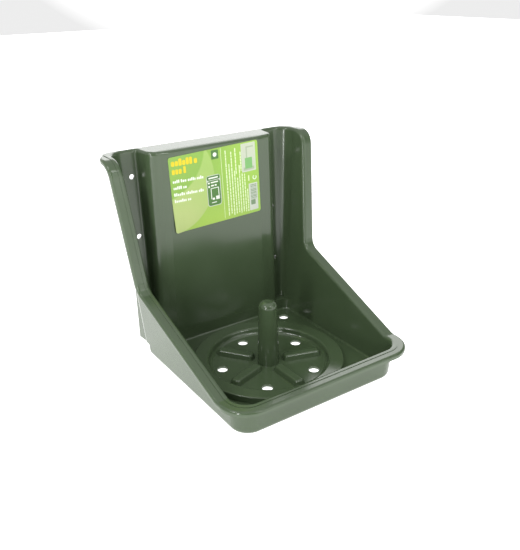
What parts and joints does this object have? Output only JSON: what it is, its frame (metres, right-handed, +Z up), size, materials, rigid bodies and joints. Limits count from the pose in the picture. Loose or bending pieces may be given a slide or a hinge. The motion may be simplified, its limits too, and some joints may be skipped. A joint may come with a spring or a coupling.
{
  "type": "wall-mounted lick stone holder",
  "caption": "Wall-hung one-piece plastic holder for a lick stone: square drained tray with seat ring and centre post, tall wings, screw flanges, hollow back column and a label.",
  "frame": {"origin": "bottom centre of the bounding box: middle of the width and of the depth, at the underside of the tray", "axes": "+X to the user's right, +Y to the wall it hangs on, +Z up"},
  "size_m": [0.291, 0.2758, 0.262],
  "materials": {
    "green_plastic": "glossy dark green injection moulding",
    "printed_film": "printed satin film, lime green"
  },
  "bodies": {
    "root": {"holder_body": "green_plastic", "product_label": "printed_film"}
  },
  "joints": []
}
